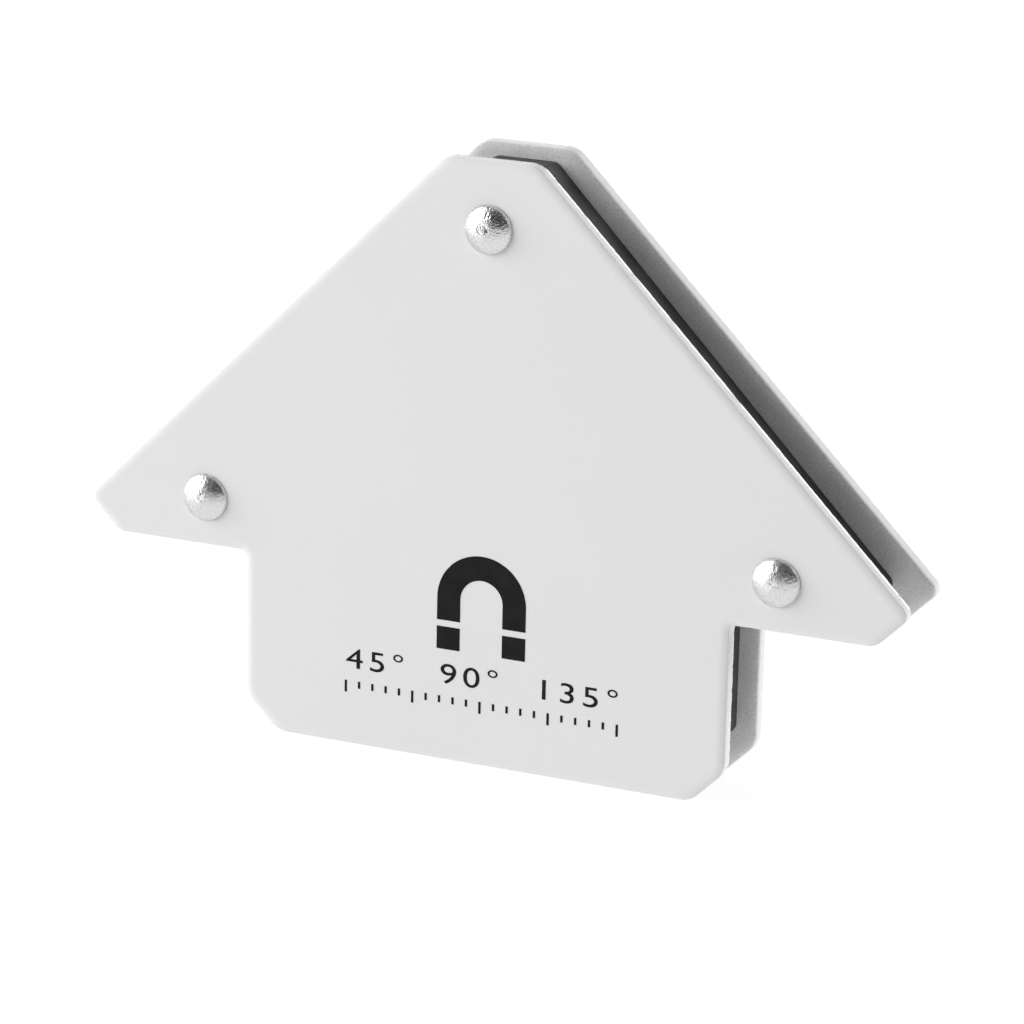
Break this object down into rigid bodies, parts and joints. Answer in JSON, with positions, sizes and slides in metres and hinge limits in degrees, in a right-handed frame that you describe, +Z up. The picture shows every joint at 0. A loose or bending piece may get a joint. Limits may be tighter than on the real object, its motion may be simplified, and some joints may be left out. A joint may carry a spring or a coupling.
{
  "type": "welding magnet holder",
  "caption": "Arrow-shaped magnetic holder that sets plate or tube at right, half-right and wide angles for tack welding: riveted steel plates over a moulded core with ferrite blocks.",
  "frame": {"origin": "on the floor, under the middle of the base edge and midway between the two plates", "axes": "+X across the arrow towards its right tip, +Y through the thickness from the printed front plate to the back plate, +Z up from the base edge to the apex"},
  "size_m": [0.1188, 0.0176, 0.0835],
  "materials": {
    "coated_steel": "satin",
    "black_moulding": "matte",
    "ferrite": "matte",
    "sleeve_steel": "satin",
    "rivet_zinc": "satin",
    "ink": "matte"
  },
  "bodies": {
    "root": {"front_plate": "coated_steel", "back_plate": "coated_steel", "spacer_core": "black_moulding", "magnet_left": "ferrite", "magnet_right": "ferrite", "magnet_centre": "ferrite", "magnet_base": "ferrite", "sleeve_apex": "sleeve_steel", "sleeve_left": "sleeve_steel", "sleeve_right": "sleeve_steel", "rivet_apex": "rivet_zinc", "rivet_left": "rivet_zinc", "rivet_right": "rivet_zinc"}
  },
  "joints": []
}
